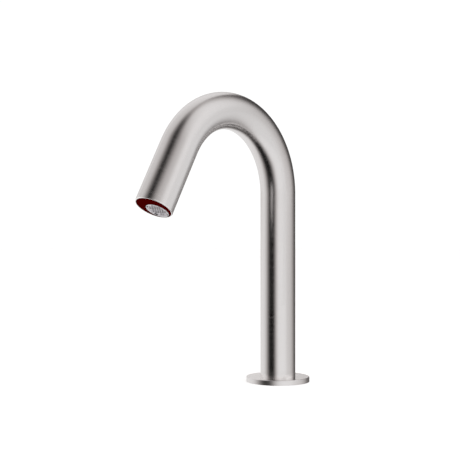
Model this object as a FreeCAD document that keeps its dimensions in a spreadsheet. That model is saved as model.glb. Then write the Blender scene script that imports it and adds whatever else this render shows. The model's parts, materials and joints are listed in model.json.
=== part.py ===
"""A deck-mounted sensor tap: a bent round spout tube on a thin round flange, with a dark red
infrared window and an off-centre screw-in aerator at its outlet.

Frame: the origin is the centre of the flange's underside, on the deck. +Z is up and the spout
reaches out towards -Y. All sizes are in millimetres and are kept in the spreadsheet Sizes.
Parts at the outlet are drawn in the outlet's own frame: its origin is the centre of the tube's
cut end, +Z runs up into the tube and +Y points back towards the column.
"""
import FreeCAD, Part
import math
import os
import re

import Sketcher

from FreeCAD import Placement, Rotation, Vector

SIZES = {
    # Spout tube
    "tube_dia": (28.0, "outside diameter of the spout tube"),
    "tube_wall": (0.8, "wall of the spout tube"),
    "column_rise": (150.0, "deck to the start of the bend"),
    "bend_radius": (61.0, "radius of the bend, to the tube's centre line"),
    "bend_angle": (150.0, "degrees turned by the bend"),
    "outlet_run": (50.9, "straight tube after the bend"),
    "rim_round": (0.5, "rounding of the outer edge of the tube's cut end"),
    "rim_break": (0.1, "rounding of its inner edge"),
    # Fits
    "fit_gap": (0.05, "radial gap of brazed, screwed and pressed pieces"),
    "ease": (0.1, "gap around pieces that are dropped in or pushed on"),
    # Base
    "flange_dia": (50.5, "diameter of the base flange"),
    "flange_thick": (4.0, "thickness of the base flange"),
    "flange_round": (0.4, "rounding of the flange's top edge"),
    "tube_seat": (0.8, "depth of the recess that the tube stands in"),
    "core_rise": (30.0, "height of the base core above the flange"),
    "core_lead": (1.0, "chamfer at the core's top"),
    "seal_mid_dia": (41.0, "mean diameter of the deck seal"),
    "seal_width": (3.2, "width of the deck seal"),
    "seal_thick": (1.8, "thickness of the deck seal"),
    "stud_bore": (5.0, "tapping diameter for the M6 fixing studs"),
    "stud_depth": (16.0, "depth of the stud holes"),
    "stud_spacing": (18.0, "distance between the two studs"),
    "stud_back": (1.5, "how far the studs stand behind the column's centre"),
    # Waterway
    "water_offset": (4.2, "aerator, hose and inlet stand this far in from the tube's centre line"),
    "inlet_bore": (9.0, "core diameter of the M10x1 inlet thread"),
    "inlet_depth": (12.0, "length of the inlet thread"),
    "waterway_dia": (5.6, "drilling between inlet and nipple, and the hose's bore"),
    "nipple_thread": (8.0, "thread diameter of the hose nipples"),
    "inlet_shank": (12.0, "length of the inlet nipple's thread"),
    "nipple_relief": (1.0, "how far a nipple's thread hole goes past its thread"),
    "nipple_hex": (11.0, "width across corners of a nipple's hexagon"),
    "nipple_hex_thick": (3.0, "thickness of a nipple's hexagon"),
    "nipple_bore": (3.8, "bore through a nipple"),
    "barb_length": (12.0, "length of a nipple's barbed end"),
    "barb_count": (4.0, "ridges on a nipple's barbed end"),
    "barb_depth": (0.35, "depth of the ridges"),
    "washer_thick": (1.0, "thickness of a nipple's sealing washer"),
    "hose_dia": (8.0, "outside diameter of the inner hose"),
    "ferrule_wall": (0.6, "wall of a hose ferrule"),
    "ferrule_length": (9.0, "length of a hose ferrule"),
    "ferrule_start": (1.5, "hose end to the ferrule"),
    "spacer_thick": (4.0, "thickness of a hose spacer"),
    "spacer_slack": (0.2, "gap between a spacer and the tube's bore"),
    "spacer_relief": (6.4, "diameter of a spacer's side holes"),
    "column_spacer": (92.0, "height of the spacer in the column"),
    # Sensor cable and its socket
    "sensor_offset": (8.0, "sensor and cable stand this far out from the tube's centre line"),
    "cable_dia": (3.0, "outside diameter of the sensor cable"),
    "cable_ease": (0.4, "radial room around the cable in its drillings"),
    "plug_recess_dia": (7.6, "recess that takes the plug's collar"),
    "plug_recess": (4.0, "depth of that recess"),
    "socket_dia": (7.0, "bore that holds the socket"),
    "socket_start": (6.0, "height of the socket's mouth"),
    "socket_length": (16.0, "length of the socket's shell"),
    "socket_wall": (0.6, "wall of the socket's shell"),
    "insulator_length": (9.0, "length of the socket's insulator"),
    "pin_dia": (0.8, "diameter of a contact pin"),
    "pin_circle": (2.8, "pitch circle of the contact pins"),
    "pin_reach": (4.0, "length of a contact pin below the insulator"),
    "pin_root": (6.0, "length of a contact pin in the insulator"),
    # Outlet
    "window_recess": (0.05, "window's face to the tube's cut end"),
    "window_thick": (2.0, "thickness of the window"),
    "window_hole": (18.1, "hole around the aerator, which leaves the window a crescent"),
    "insert_length": (24.7, "length of the outlet insert"),
    "ring_dia": (1.4, "section of the insert's sealing ring"),
    "ring_groove": (2.0, "width of the ring's groove"),
    "ring_back": (3.7, "back of the insert to the ring's groove"),
    "screw_dia": (3.0, "diameter of the insert's grub screw"),
    "screw_length": (4.0, "length of the grub screw"),
    "screw_back": (9.65, "back of the insert to the grub screw"),
    "screw_hex": (1.7, "width across corners of the grub screw's socket"),
    "screw_hex_depth": (1.6, "depth of the grub screw's socket"),
    # Sensor
    "case_width": (9.8, "width of the sensor's case"),
    "case_thick": (5.2, "thickness of the sensor's case"),
    "case_depth": (13.5, "depth of the sensor's case"),
    "case_wall": (0.6, "wall of the sensor's case"),
    "eye_dia": (3.0, "diameter of the emitter and of the receiver"),
    "eye_length": (5.6, "length of the emitter and of the receiver"),
    "eye_spacing": (4.9, "distance between emitter and receiver"),
    "board_thick": (1.0, "thickness of the sensor's board"),
    "cap_thick": (1.8, "thickness of the case's rear cap"),
    "lead_dia": (0.8, "diameter of a lead from board to cable"),
    "lead_spacing": (1.0, "distance between the leads"),
    # Aerator
    "aerator_thread": (16.5, "thread diameter of the aerator"),
    "thread_band": (6.0, "length of the aerator's thread"),
    "aerator_recess": (0.1, "aerator's face to the tube's cut end"),
    "aerator_length": (9.6, "length of the aerator's housing"),
    "head_dia": (17.4, "diameter of the aerator's head ring"),
    "aerator_neck": (0.3, "how much the housing is turned down between head and thread"),
    "aerator_wall": (1.0, "wall of the aerator's housing"),
    "aerator_lip": (0.6, "width of the lip that carries the inner discs"),
    "lip_place": (2.3, "housing's face to its lip"),
    "lip_thick": (0.8, "thickness of the lip"),
    "key_slots": (4.0, "slots in the head ring for the service key"),
    "key_slot_turn": (49.0, "degrees from the tap's side to the first key slot"),
    "key_slot_width": (2.2, "width of a key slot"),
    "key_slot_depth": (1.2, "depth of a key slot"),
    "key_slot_rim": (0.7, "metal left between a key slot and the head ring's outside"),
    "grille_thick": (1.6, "thickness of the outlet grille"),
    "grille_cell": (1.78, "width of a six-sided cell of the grille"),
    "grille_bar": (0.39, "bar between two cells"),
    "grille_turn": (4.0, "degrees from the tap's side to a row of cells"),
    "screen_thick": (0.4, "thickness of an air screen"),
    "screen_hole": (0.8, "holes in an air screen"),
    "screen_pitch": (1.7, "distance between those holes"),
    "jet_thick": (1.4, "thickness of the jet plate"),
    "jet_holes": (12.0, "holes in the jet plate"),
    "jet_hole_dia": (1.0, "diameter of a jet hole"),
    "jet_circle": (9.6, "pitch circle of the jet holes"),
    "regulator_thick": (3.1, "thickness of the flow regulator"),
    "regulator_floor": (1.0, "floor under the regulator's channel"),
    "regulator_circle": (8.6, "mean diameter of the channel and its ring"),
    "regulator_channel": (2.6, "width of the channel"),
    "regulator_ports": (8.0, "ports through the channel's floor"),
    "port_dia": (1.1, "diameter of a port"),
    "regulator_ring_dia": (2.0, "section of the regulator's ring"),
    "strainer_rim": (0.6, "thickness of the strainer's rim"),
    "strainer_base": (10.8, "diameter of the strainer's cone at its rim"),
    "strainer_top": (5.0, "diameter of the strainer's cone at its top"),
    "strainer_rise": (3.2, "height of the strainer's cone"),
    "strainer_wall": (0.6, "wall of the strainer's cone"),
    "strainer_slots": (8.0, "slots round the strainer's cone"),
    "strainer_slot": (1.2, "width of a strainer slot"),
    "seal_washer_thick": (2.0, "thickness of the aerator's washer"),
    "seal_washer_width": (1.45, "width of the aerator's washer"),
    "chamber_dia": (13.0, "chamber above the aerator"),
    "chamber_depth": (2.0, "depth of that chamber"),
}

# Lengths that several pieces share, written as formulas on the sheet
BORE_R = "(tube_dia/2 - tube_wall)"
CORE_TOP = "(flange_thick + core_rise)"
INSERT_FRONT = "(window_recess + window_thick)"
INSERT_BACK = f"({INSERT_FRONT} + insert_length)"
BARB_R = "(waterway_dia/2 - fit_gap)"
WASHER_SEAT = "(aerator_recess + aerator_length + seal_washer_thick)"
HOUSING_BACK = "(aerator_recess + aerator_length)"
CORE_R = "(aerator_thread/2 - aerator_wall - fit_gap)"
LIP_BACK = "(aerator_recess + lip_place + lip_thick)"
SCREENS_BACK = f"({LIP_BACK} + 2*screen_thick)"
JETS_BACK = f"({SCREENS_BACK} + jet_thick)"
REGULATOR_BACK = f"({JETS_BACK} + regulator_thick)"
EYE_BACK = f"({INSERT_FRONT} + ease + eye_length)"
CASE_BACK = f"({INSERT_FRONT} + case_depth)"
CAP_FRONT = f"({CASE_BACK} - cap_thick)"
SOCKET_TOP = "(socket_start + socket_length)"
INSULATOR_FOOT = f"({SOCKET_TOP} - insulator_length)"
HOSE_FOOT = f"({CORE_TOP} + washer_thick + nipple_hex_thick)"
CHAMBER_BACK = f"({WASHER_SEAT} + chamber_depth)"
OUTLET_SHANK = f"({INSERT_BACK} - {CHAMBER_BACK} - nipple_relief)"
SCREW_PLACE = f"({INSERT_BACK} - screw_back)"
HOSE_END = f"({INSERT_BACK} + washer_thick + nipple_hex_thick)"

NEAR = 1e-4  # two lengths closer than this are the same length

doc = FreeCAD.newDocument("sensor_tap")
sheet = doc.addObject("Spreadsheet::Sheet", "Sizes")
nodes = []


def fill_sheet():
    """One row a size: its name, its value and what it is."""
    for row, (name, (value, note)) in enumerate(SIZES.items(), start=1):
        sheet.set(f"A{row}", name)
        sheet.set(f"B{row}", str(value))
        sheet.set(f"C{row}", note)
        sheet.setAlias(f"B{row}", name)
    doc.recompute()


def bind(formula):
    """The formula with each size's name pointing at its cell."""
    return re.sub(
        r"[a-z][a-z0-9_]*",
        lambda word: f"Sizes.{word.group()}" if word.group() in SIZES else word.group(),
        formula,
    )


def number(formula):
    """What a formula on the sheet comes to now."""
    found = sheet.evalExpression(bind(formula))
    return float(getattr(found, "Value", found))


def set_sizes(thing, **formulas):
    """Binds properties of an object to formulas on the sheet."""
    for name, formula in formulas.items():
        thing.setExpression(name, bind(formula))
    return thing


def keep(thing, label):
    """Gives a finished sub-part its name and marks it for export."""
    thing.Label = label
    nodes.append(thing)
    return thing


# Places


def place(thing, across="0", along="0", up="0"):
    """Puts a piece at a point of the tap's own frame."""
    set_sizes(thing, **{"Placement.Base.x": across, "Placement.Base.y": along, "Placement.Base.z": up})
    return thing


def place_at_outlet(thing, across="0", back="0", depth="0"):
    """Puts a piece in the outlet's frame, moved sideways, back towards the column or up the tube."""
    thing.Placement = Placement(Vector(), Rotation(Vector(-1, 0, 0), 30))
    turn = "(bend_angle * 1 deg)"
    end_y = f"-(bend_radius*(1 - cos({turn})) + outlet_run*sin({turn}))"
    end_z = f"(column_rise + bend_radius*sin({turn}) + outlet_run*cos({turn}))"
    set_sizes(
        thing,
        **{
            "Placement.Base.x": across,
            "Placement.Base.y": f"{end_y} - ({back})*cos({turn}) + ({depth})*sin({turn})",
            "Placement.Base.z": f"{end_z} - ({back})*sin({turn}) - ({depth})*cos({turn})",
            "Placement.Rotation.Angle": f"180 deg - {turn}",
        },
    )
    return thing


def place_on_bend(thing, share):
    """Puts a piece across the tube at a share of the bend: its +Y points away from the bend's centre."""
    turn = f"({share} * bend_angle * 1 deg)"
    thing.Placement = Placement(Vector(), Rotation(Vector(1, 0, 0), 90))
    set_sizes(
        thing,
        **{
            "Placement.Base.y": f"bend_radius*(cos({turn}) - 1)",
            "Placement.Base.z": f"column_rise + bend_radius*sin({turn})",
            "Placement.Rotation.Angle": turn,
        },
    )
    return thing


# Sketches and features


def new_body(label):
    body = doc.addObject("PartDesign::Body", label)
    body.Label = label
    return body


def origin_plane(body, role):
    return next(part for part in body.Origin.OriginFeatures if part.Role == role)


def new_sketch(body, name, role, lift="0"):
    sketch = body.newObject("Sketcher::SketchObject", name)
    sketch.AttachmentSupport = [(origin_plane(body, role), "")]
    sketch.MapMode = "FlatFace"
    if lift != "0":
        set_sizes(sketch, **{"AttachmentOffset.Base.z": lift})
    return sketch


def fix_point(sketch, geometry, end, radius, height):
    """Holds one end of a line at a radius and a height, each a formula that isn't negative."""
    for kind, formula, axis in (("DistanceX", radius, -2), ("DistanceY", height, -1)):
        if abs(number(formula)) < NEAR:
            sketch.addConstraint(Sketcher.Constraint("PointOnObject", geometry, end, axis))
        else:
            held = sketch.addConstraint(
                Sketcher.Constraint(kind, -1, 1, geometry, end, number(formula))
            )
            sketch.setExpression(f"Constraints[{held}]", bind(formula))


def closed_outline(sketch, corners):
    """A closed outline through (radius, height) corners, each held by the sheet."""
    points = [Vector(number(radius), number(height), 0) for radius, height in corners]
    for index, point in enumerate(points):
        sketch.addGeometry(Part.LineSegment(point, points[(index + 1) % len(points)]))
    for index, (radius, height) in enumerate(corners):
        before = (index - 1) % len(corners)
        sketch.addConstraint(Sketcher.Constraint("Coincident", before, 2, index, 1))
        fix_point(sketch, index, 1, radius, height)


def turned_body(label, corners):
    """A body turned about its Z axis from an outline of (radius, height) corners."""
    body = new_body(label)
    sketch = new_sketch(body, f"{label}_outline", "XZ_Plane")
    closed_outline(sketch, corners)
    turning = body.newObject("PartDesign::Revolution", f"{label}_turning")
    turning.Profile = sketch
    turning.ReferenceAxis = (sketch, ["V_Axis"])
    turning.Angle = 360
    return body


def ring_corners(inner, outer, low, high):
    return [(inner, low), (outer, low), (outer, high), (inner, high)]


def drill(body, name, radius, low, depth, across="0", along="0"):
    """A straight bore along Z, from a height upwards."""
    bore = body.newObject("PartDesign::SubtractiveCylinder", f"{body.Name}_{name}")
    set_sizes(bore, Radius=radius, Height=depth)
    return place(bore, across, along, low)


def mill(body, name, size, corner):
    """A rectangular pocket: its size and its lowest corner, each as three formulas."""
    pocket = body.newObject("PartDesign::SubtractiveBox", f"{body.Name}_{name}")
    set_sizes(pocket, Length=size[0], Width=size[1], Height=size[2])
    return place(pocket, *corner)


def repeat_round(body, feature, count):
    """Repeats a feature evenly about the body's Z axis."""
    doc.recompute()
    pattern = body.newObject("PartDesign::PolarPattern", f"{feature.Name}_round")
    pattern.Originals = [feature]
    pattern.Axis = (origin_plane(body, "Z_Axis"), [""])
    pattern.Angle = 360
    set_sizes(pattern, Occurrences=count)
    body.Tip = pattern
    return pattern


def round_edges(body, radius, circles):
    """Rounds the circular edges with a given radius and centre, each circle as (radius, centre)."""
    doc.recompute()
    base = body.Tip
    found = []
    for index, edge in enumerate(base.Shape.Edges, start=1):
        curve = edge.Curve
        if not isinstance(curve, Part.Circle):
            continue
        if any(
            abs(curve.Radius - wanted) < NEAR and (curve.Center - centre).Length < NEAR
            for wanted, centre in circles
        ):
            found.append(f"Edge{index}")
    if len(found) < len(circles):
        raise RuntimeError(f"{body.Label}: found {len(found)} of {len(circles)} edges to round")
    rounding = body.newObject("PartDesign::Fillet", f"{body.Name}_rounding")
    rounding.Base = (base, found)
    set_sizes(rounding, Radius=radius)
    body.Tip = rounding
    return rounding


def group(label, members):
    """Separate equal pieces that share one name."""
    compound = doc.addObject("Part::Compound", label)
    compound.Links = members
    return keep(compound, label)


def spout_path(body, name, outward, foot, end_run):
    """The line that runs up the column, round the bend and down the outlet, in the YZ plane.

    outward moves it away from the bend's centre, foot is the height where it starts and end_run
    is the straight length after the bend.
    """
    sketch = new_sketch(body, name, "YZ_Plane")
    radius = number(f"bend_radius + {outward}")
    turn = math.radians(number("bend_angle"))
    centre = Vector(-number("bend_radius"), number("column_rise"), 0)
    start = centre + Vector(radius, 0, 0)
    finish = centre + Vector(radius * math.cos(turn), radius * math.sin(turn), 0)
    onward = Vector(-math.sin(turn), math.cos(turn), 0)
    column = sketch.addGeometry(Part.LineSegment(Vector(start.x, number(foot), 0), start))
    bend = sketch.addGeometry(Part.ArcOfCircle(Part.Circle(centre, Vector(0, 0, 1), radius), 0, turn))
    outlet = sketch.addGeometry(Part.LineSegment(finish, finish + onward * number(end_run)))
    sketch.addConstraint(Sketcher.Constraint("Vertical", column))
    sketch.addConstraint(Sketcher.Constraint("Tangent", column, 2, bend, 1))
    sketch.addConstraint(Sketcher.Constraint("Tangent", bend, 2, outlet, 1))
    for constraint, formula in (
        (Sketcher.Constraint("DistanceX", bend, 3, -1, 1, -centre.x), "bend_radius"),
        (Sketcher.Constraint("DistanceY", -1, 1, bend, 3, centre.y), "column_rise"),
        (Sketcher.Constraint("Radius", bend, radius), f"bend_radius + {outward}"),
        (Sketcher.Constraint("Angle", bend, turn), "bend_angle * 1 deg"),
        (Sketcher.Constraint("DistanceY", -1, 1, column, 1, number(foot)), foot),
        (Sketcher.Constraint("Distance", outlet, number(end_run)), end_run),
    ):
        held = sketch.addConstraint(constraint)
        sketch.setExpression(f"Constraints[{held}]", bind(formula))
    return sketch


def bent_body(label, outward, foot, end_run, radii):
    """A body swept along the spout's path: its section is one circle, or two for a pipe."""
    body = new_body(label)
    path = spout_path(body, f"{label}_path", outward, foot, end_run)
    section = new_sketch(body, f"{label}_section", "XY_Plane", foot)
    middle = Vector(0, number(outward), 0)
    for index, radius in enumerate(radii):
        section.addGeometry(Part.Circle(middle, Vector(0, 0, 1), number(radius)))
        held = section.addConstraint(Sketcher.Constraint("Radius", index, number(radius)))
        section.setExpression(f"Constraints[{held}]", bind(radius))
    section.addConstraint(Sketcher.Constraint("PointOnObject", 0, 3, -2))
    if abs(middle.y) < NEAR:
        section.addConstraint(Sketcher.Constraint("PointOnObject", 0, 3, -1))
    else:
        ends, sign = ((-1, 1, 0, 3), "") if middle.y > 0 else ((0, 3, -1, 1), "-")
        held = section.addConstraint(Sketcher.Constraint("DistanceY", *ends, abs(middle.y)))
        section.setExpression(f"Constraints[{held}]", bind(f"{sign}({outward})"))
    if len(radii) > 1:
        section.addConstraint(Sketcher.Constraint("Coincident", 1, 3, 0, 3))
    sweep = body.newObject("PartDesign::AdditivePipe", f"{label}_sweep")
    sweep.Profile = section
    sweep.Spine = (path, ["Edge1", "Edge2", "Edge3"])
    return body


# Spout and base


def make_spout_tube():
    foot = "(flange_thick - tube_seat)"
    body = bent_body("spout_tube", "0", foot, "outlet_run", ["tube_dia/2", BORE_R])
    turn = math.radians(number("bend_angle"))
    out, run = number("bend_radius"), number("outlet_run")
    end = Vector(
        0,
        -out * (1 - math.cos(turn)) - run * math.sin(turn),
        number("column_rise") + out * math.sin(turn) + run * math.cos(turn),
    )
    hole = body.newObject("PartDesign::SubtractiveCylinder", "spout_tube_screw_hole")
    place_at_outlet(hole, back=f"{BORE_R} - tube_wall", depth=SCREW_PLACE)
    hole.Placement.Rotation = Rotation(Vector(-1, 0, 0), 120)
    set_sizes(
        hole,
        Radius="screw_dia/2 + ease",
        Height="3*tube_wall",
        **{"Placement.Rotation.Angle": "270 deg - bend_angle * 1 deg"},
    )
    body.Tip = hole
    round_edges(body, "rim_round", [(number("tube_dia/2"), end)])
    round_edges(body, "rim_break", [(number(BORE_R), end)])
    return keep(body, "spout_tube")


def make_base_flange():
    """The round flange that covers the deck hole: the tube stands in a recess in its top."""
    hole, seat = f"({BORE_R})", "(tube_dia/2 + fit_gap)"
    groove_in = "(seal_mid_dia/2 - seal_width/2 - ease)"
    groove_out = "(seal_mid_dia/2 + seal_width/2 + ease)"
    body = turned_body(
        "base_flange",
        [
            (hole, "0"),
            (groove_in, "0"),
            (groove_in, "seal_thick"),
            (groove_out, "seal_thick"),
            (groove_out, "0"),
            ("flange_dia/2", "0"),
            ("flange_dia/2", "flange_thick"),
            (seat, "flange_thick"),
            (seat, "flange_thick - tube_seat"),
            (hole, "flange_thick - tube_seat"),
        ],
    )
    round_edges(
        body, "flange_round", [(number("flange_dia/2"), Vector(0, 0, number("flange_thick")))]
    )
    return keep(body, "base_flange")


def make_base_core():
    """The core that joins flange and tube: it has the inlet, the stud holes and the cable's socket."""
    core = f"({BORE_R} - fit_gap)"
    body = turned_body(
        "base_core",
        [
            ("0", "0"),
            (core, "0"),
            (core, f"{CORE_TOP} - core_lead"),
            (f"{core} - core_lead", CORE_TOP),
            ("0", CORE_TOP),
        ],
    )
    water, cable = "-water_offset", "sensor_offset"
    drill(body, "inlet", "inlet_bore/2", "0", "inlet_depth", along=water)
    drill(body, "waterway", "waterway_dia/2", "0", CORE_TOP, along=water)
    thread_foot, thread_depth = f"{CORE_TOP} - inlet_shank - nipple_relief", "inlet_shank + nipple_relief"
    drill(body, "nipple_thread", "nipple_thread/2", thread_foot, thread_depth, along=water)
    drill(body, "plug_recess", "plug_recess_dia/2", "0", "plug_recess", along=cable)
    drill(body, "socket_bore", "socket_dia/2", "0", SOCKET_TOP, along=cable)
    drill(body, "cable_bore", "cable_dia/2 + cable_ease", "0", CORE_TOP, along=cable)
    for side, across in (("left", "-stud_spacing/2"), ("right", "stud_spacing/2")):
        drill(body, f"{side}_stud", "stud_bore/2", "0", "stud_depth", across, "stud_back")
    return keep(body, "base_core")


def make_deck_seal():
    inner, outer = "seal_mid_dia/2 - seal_width/2", "seal_mid_dia/2 + seal_width/2"
    return keep(turned_body("deck_seal", ring_corners(inner, outer, "0", "seal_thick")), "deck_seal")


# Waterway


def make_nipple(label, shank):
    """A hose nipple standing on its washer: thread below the washer, hexagon and barbs above.

    Its own frame starts at the end of the thread, and shank is the thread's length.
    """
    hex_foot = f"({shank} + washer_thick)"
    barb_foot = f"({hex_foot} + nipple_hex_thick)"
    corners = [
        ("nipple_bore/2", "0"),
        ("nipple_thread/2 - fit_gap", "0"),
        ("nipple_thread/2 - fit_gap", hex_foot),
        ("nipple_thread/2", hex_foot),
        ("nipple_thread/2", barb_foot),
    ]
    count = round(number("barb_count"))
    for ridge in range(count):
        low = f"{barb_foot} + {ridge}*barb_length/barb_count"
        high = f"{barb_foot} + {ridge + 1}*barb_length/barb_count"
        corners += [(BARB_R, low), (f"{BARB_R} - barb_depth", high)]
    corners.append(("nipple_bore/2", f"{barb_foot} + barb_length"))
    body = turned_body(label, corners)
    hexagon = body.newObject("PartDesign::AdditivePrism", f"{label}_hexagon")
    hexagon.Polygon = 6
    set_sizes(hexagon, Circumradius="nipple_hex/2", Height="nipple_hex_thick")
    place(hexagon, up=hex_foot)
    drill(body, "bore", "nipple_bore/2", "0", f"{barb_foot} + barb_length")
    return body


def make_waterway():
    across = "-water_offset"
    inlet = make_nipple("inlet_nipple", "inlet_shank")
    keep(place(inlet, along=across, up=f"{CORE_TOP} - inlet_shank"), "inlet_nipple")
    outlet = make_nipple("outlet_nipple", OUTLET_SHANK)
    place_at_outlet(outlet, back="water_offset", depth=f"{CHAMBER_BACK} + nipple_relief")
    keep(outlet, "outlet_nipple")

    washers = []
    for end in ("inlet", "outlet"):
        washer = turned_body(
            f"{end}_washer",
            ring_corners("nipple_thread/2 + ease", "nipple_hex/2 - ease", "0", "washer_thick"),
        )
        washers.append(washer)
    place(washers[0], along=across, up=CORE_TOP)
    place_at_outlet(washers[1], back="water_offset", depth=INSERT_BACK)
    group("nipple_washers", washers)

    keep(
        bent_body(
            "inner_hose", "-water_offset", HOSE_FOOT, f"(outlet_run - {HOSE_END})",
            ["hose_dia/2", "waterway_dia/2"],
        ),
        "inner_hose",
    )

    ferrules = []
    for end in ("inlet", "outlet"):
        inner, outer = "hose_dia/2 + fit_gap", "hose_dia/2 + fit_gap + ferrule_wall"
        ferrules.append(turned_body(f"{end}_ferrule", ring_corners(inner, outer, "0", "ferrule_length")))
    place(ferrules[0], along=across, up=f"{HOSE_FOOT} + ferrule_start")
    place_at_outlet(ferrules[1], back="water_offset", depth=f"{HOSE_END} + ferrule_start")
    group("hose_ferrules", ferrules)


def make_spacer(label):
    """A plastic disc that fills the tube's bore and carries the hose and the cable."""
    body = new_body(label)
    disc = body.newObject("PartDesign::AdditiveCylinder", f"{label}_disc")
    set_sizes(disc, Radius=f"{BORE_R} - spacer_slack", Height="spacer_thick")
    place(disc, up="-spacer_thick/2")
    low, side = "-spacer_thick/2", f"{BORE_R} - spacer_relief/2 - 2*tube_wall"
    drill(body, "hose_hole", "hose_dia/2 + ease", low, "spacer_thick", along="-water_offset")
    drill(body, "cable_hole", "cable_dia/2 + ease", low, "spacer_thick", along="sensor_offset")
    for name, across in (("left", f"-({side})"), ("right", side)):
        drill(body, f"{name}_relief", "spacer_relief/2", low, "spacer_thick", across)
    return body


def make_spacers():
    spacers = [place(make_spacer("column_spacer"), up="column_spacer")]
    for number_on_bend, share in enumerate(("0.05", "0.5", "0.95"), start=1):
        spacers.append(place_on_bend(make_spacer(f"bend_spacer_{number_on_bend}"), share))
    group("hose_spacers", spacers)


# Sensor cable and its socket


def make_cable():
    keep(
        bent_body(
            "sensor_cable", "sensor_offset", SOCKET_TOP, f"(outlet_run - {CAP_FRONT})", ["cable_dia/2"]
        ),
        "sensor_cable",
    )


def make_socket():
    """The socket in the base that the under-deck cable's plug goes up into."""
    shell_r = "(socket_dia/2 - fit_gap)"
    core_r = f"({shell_r} - socket_wall)"
    shell = turned_body("socket_shell", ring_corners(core_r, shell_r, "socket_start", SOCKET_TOP))
    keep(place(shell, along="sensor_offset"), "socket_shell")

    insulator = new_body("socket_insulator")
    core = insulator.newObject("PartDesign::AdditiveCylinder", "socket_insulator_core")
    set_sizes(core, Radius=f"{core_r} - fit_gap", Height="insulator_length")
    place(core, up=INSULATOR_FOOT)
    pins = []
    for index, angle in enumerate((90, 210, 330), start=1):
        across = f"pin_circle/2*cos({angle} deg)"
        along = f"pin_circle/2*sin({angle} deg)"
        drill(insulator, f"hole_{index}", "pin_dia/2 + fit_gap", INSULATOR_FOOT, "pin_root", across, along)
        pin = doc.addObject("Part::Cylinder", f"contact_pin_{index}")
        set_sizes(pin, Radius="pin_dia/2", Height="pin_reach + pin_root")
        pins.append(place(pin, across, f"sensor_offset + {along}", f"{INSULATOR_FOOT} - pin_reach"))
    keep(place(insulator, along="sensor_offset"), "socket_insulator")
    group("contact_pins", pins)


# Outlet insert, window and sensor


def make_outlet_insert():
    """The plug in the tube's end that holds the aerator, the sensor and the hose's nipple."""
    outer, groove = f"({BORE_R} - fit_gap)", f"({BORE_R} - ring_dia - fit_gap)"
    ring_low = f"({INSERT_BACK} - ring_back - ring_groove)"
    body = turned_body(
        "outlet_insert",
        [
            ("0", INSERT_FRONT),
            (outer, INSERT_FRONT),
            (outer, ring_low),
            (groove, ring_low),
            (groove, f"{ring_low} + ring_groove"),
            (outer, f"{ring_low} + ring_groove"),
            (outer, INSERT_BACK),
            ("0", INSERT_BACK),
        ],
    )
    water, sensor = "water_offset", "-sensor_offset"
    drill(body, "aerator_bore", "aerator_thread/2", "0", WASHER_SEAT, along=water)
    drill(body, "chamber", "chamber_dia/2", "0", CHAMBER_BACK, along=water)
    drill(body, "waterway", "waterway_dia/2", "0", INSERT_BACK, along=water)
    thread_depth = f"{INSERT_BACK} - {CHAMBER_BACK}"
    drill(body, "nipple_thread", "nipple_thread/2", CHAMBER_BACK, thread_depth, along=water)
    pocket_width, pocket_thick = "(case_width + 2*ease)", "(case_thick + 2*ease)"
    mill(
        body,
        "sensor_pocket",
        (pocket_width, pocket_thick, f"{CASE_BACK}"),
        (f"-{pocket_width}/2", f"-sensor_offset - {pocket_thick}/2", "0"),
    )
    drill(body, "cable_bore", "cable_dia/2 + cable_ease", "0", INSERT_BACK, along=sensor)
    screw = body.newObject("PartDesign::SubtractiveCylinder", "outlet_insert_screw_hole")
    screw.Placement = Placement(Vector(), Rotation(Vector(-1, 0, 0), 90))
    set_sizes(screw, Radius="screw_dia/2", Height="screw_length + ease")
    place(screw, along="tube_dia/2 - screw_length - tube_wall/2", up=SCREW_PLACE)
    body.Tip = screw
    return keep(place_at_outlet(body), "outlet_insert")


def make_insert_ring():
    ring = doc.addObject("Part::Torus", "insert_o_ring")
    set_sizes(ring, Radius1=f"{BORE_R} - ring_dia/2 - fit_gap", Radius2="ring_dia/2 - fit_gap/2")
    place_at_outlet(ring, depth=f"{INSERT_BACK} - ring_back - ring_groove/2")
    return keep(ring, "insert_o_ring")


def make_grub_screw():
    """The socket screw behind the outlet that locks the insert; its own Z is the screw's axis."""
    body = new_body("insert_grub_screw")
    rod = body.newObject("PartDesign::AdditiveCylinder", "insert_grub_screw_rod")
    set_sizes(rod, Radius="screw_dia/2 - fit_gap", Height="screw_length")
    socket = body.newObject("PartDesign::SubtractivePrism", "insert_grub_screw_socket")
    socket.Polygon = 6
    set_sizes(socket, Circumradius="screw_hex/2", Height="screw_hex_depth")
    place(socket, up="screw_length - screw_hex_depth")
    body.Tip = socket
    place_at_outlet(body, back="tube_dia/2 - screw_length - tube_wall/2", depth=SCREW_PLACE)
    body.Placement.Rotation = Rotation(Vector(-1, 0, 0), 120)
    set_sizes(body, **{"Placement.Rotation.Angle": "270 deg - bend_angle * 1 deg"})
    return keep(body, "insert_grub_screw")


def make_window():
    body = new_body("sensor_window")
    disc = body.newObject("PartDesign::AdditiveCylinder", "sensor_window_disc")
    set_sizes(disc, Radius=f"{BORE_R} - fit_gap", Height="window_thick")
    place(disc, up="window_recess")
    drill(body, "hole", "window_hole/2", "window_recess", "window_thick", along="water_offset")
    return keep(place_at_outlet(body), "sensor_window")


def make_eye(label, across):
    """A round-nosed infrared diode looking out through the window."""
    body = turned_body(
        label, [("0", "0"), ("eye_dia/2", "0"), ("eye_dia/2", "eye_length"), ("0", "eye_length")]
    )
    round_edges(body, "eye_dia/2 - fit_gap", [(number("eye_dia/2"), Vector())])
    return keep(place_at_outlet(body, across, "-sensor_offset", f"{INSERT_FRONT} + ease"), label)


def centred_box(kind, body, name, width, thick, low, depth):
    """A box centred on the body's Z axis, added to the body or cut from it."""
    box = body.newObject(f"PartDesign::{kind}Box", f"{body.Name}_{name}")
    set_sizes(box, Length=width, Width=thick, Height=depth)
    return place(box, f"-({width})/2", f"-({thick})/2", low)


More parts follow.
